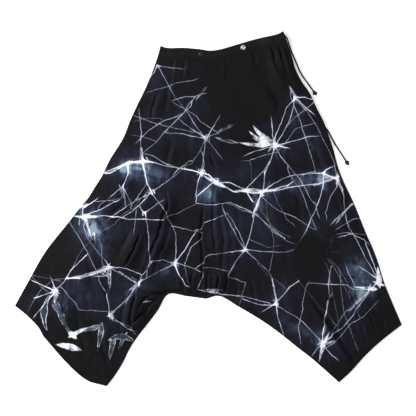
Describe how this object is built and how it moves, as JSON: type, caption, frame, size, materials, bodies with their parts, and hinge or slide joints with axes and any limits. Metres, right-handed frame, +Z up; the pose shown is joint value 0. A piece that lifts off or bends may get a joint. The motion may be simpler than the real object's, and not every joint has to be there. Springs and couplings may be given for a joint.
{
  "type": "harem pants",
  "caption": "Low-crotch harem pants of crackle-dyed black cotton, laid flat on their back, with a drawstring waistband and ring snaps on its front.",
  "frame": {"origin": "on the surface the cloth lies on, under the middle of the garment's box without the drawcord's free ends", "axes": "+X across the garment to the side seam that the drawcord leaves, +Y to the waistband, +Z up from the surface to the front of the garment"},
  "size_m": [1.18, 1.082, 0.0181],
  "materials": {
    "dyed_cotton": "matt plain-weave cotton, black with a pale crackle bleached into it",
    "band_cotton": "matt plain-weave cotton, plain black",
    "cord_cotton": "braided cotton cord, black with a brown cast",
    "nickel": "bright nickel plate",
    "gunmetal": "dark burnished plate"
  },
  "bodies": {
    "root": {"front_left": "dyed_cotton", "front_right": "dyed_cotton", "back_left": "dyed_cotton", "back_right": "dyed_cotton", "waistband_front": "band_cotton", "waistband_back": "band_cotton", "drawcord_upper": "cord_cotton", "drawcord_lower": "cord_cotton", "knot_upper": "cord_cotton", "knot_lower": "cord_cotton", "snap_right": "nickel", "snap_left": "gunmetal"}
  },
  "joints": []
}
